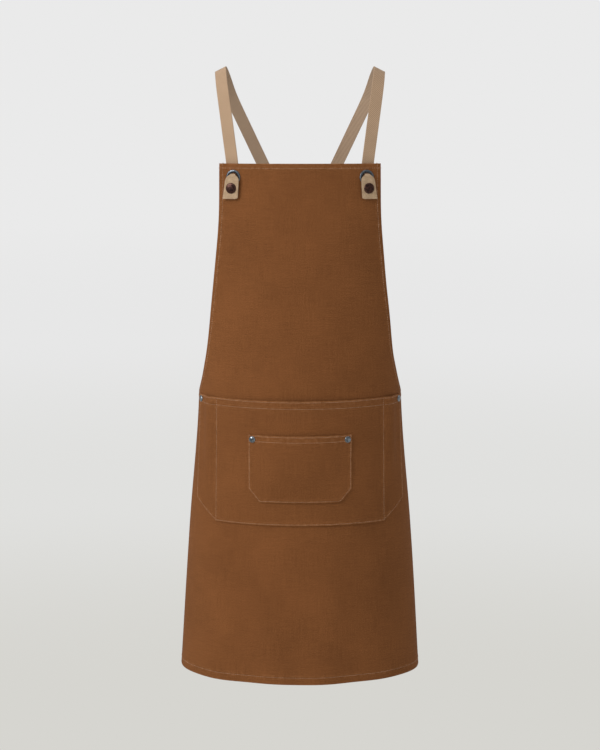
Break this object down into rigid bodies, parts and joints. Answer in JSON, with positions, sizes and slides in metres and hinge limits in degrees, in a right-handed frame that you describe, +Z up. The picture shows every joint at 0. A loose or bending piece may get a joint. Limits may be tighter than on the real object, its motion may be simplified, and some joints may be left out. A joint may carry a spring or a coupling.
{
  "type": "cross-back bib apron",
  "caption": "Canvas bib apron in its worn shape, with pouch and patch pockets, and webbing straps that button through bib eyelets, cross at the back and tie at the waist.",
  "frame": {"origin": "midway between the straps at the shoulder line, where the wearer's shoulders carry the apron", "axes": "+Z up, the wearer faces -Y, +X towards the wearer's left"},
  "size_m": [0.4064, 0.2674, 0.9965],
  "materials": {
    "canvas": "matt cotton canvas",
    "tab": "matt brushed tape",
    "webbing": "matt twill webbing",
    "gunmetal": "polished dark nickel",
    "copper": "antique copper",
    "rivet": "polished"
  },
  "bodies": {
    "root": {"apron_panel": "canvas", "pouch_pocket": "canvas", "patch_pocket": "canvas", "waist_knot": "webbing", "eyelet_left": "gunmetal", "eyelet_washer_left": "gunmetal", "tab_root_left": "tab", "stud_base_left": "copper", "stud_post_left": "copper", "pouch_rivet_left": "rivet", "pouch_burr_left": "rivet", "patch_rivet_left": "rivet", "patch_burr_left": "rivet", "strap_left": "webbing", "side_loop_left": "canvas", "waist_tie_left": "webbing", "tie_end_left": "webbing", "eyelet_right": "gunmetal", "eyelet_washer_right": "gunmetal", "tab_root_right": "tab", "stud_base_right": "copper", "stud_post_right": "copper", "pouch_rivet_right": "rivet", "pouch_burr_right": "rivet", "patch_rivet_right": "rivet", "patch_burr_right": "rivet", "strap_right": "webbing", "side_loop_right": "canvas", "waist_tie_right": "webbing", "tie_end_right": "webbing"},
    "tab_left": {"tab_flap_left": "tab", "stud_cap_left": "copper", "stud_socket_left": "copper"},
    "tab_right": {"tab_flap_right": "tab", "stud_cap_right": "copper", "stud_socket_right": "copper"}
  },
  "joints": [
    {"name": "tab_left_open", "type": "hinge", "parent": "root", "child": "tab_left", "pos_m": [-0.10692, 0.00941, -0.1654], "axis": [-0.95, 0.2941, 0.1045], "range_deg": [0, 150]},
    {"name": "tab_right_open", "type": "hinge", "parent": "root", "child": "tab_right", "pos_m": [0.10692, 0.00941, -0.1654], "axis": [-0.95, -0.2941, -0.1045], "range_deg": [0, 150]}
  ]
}
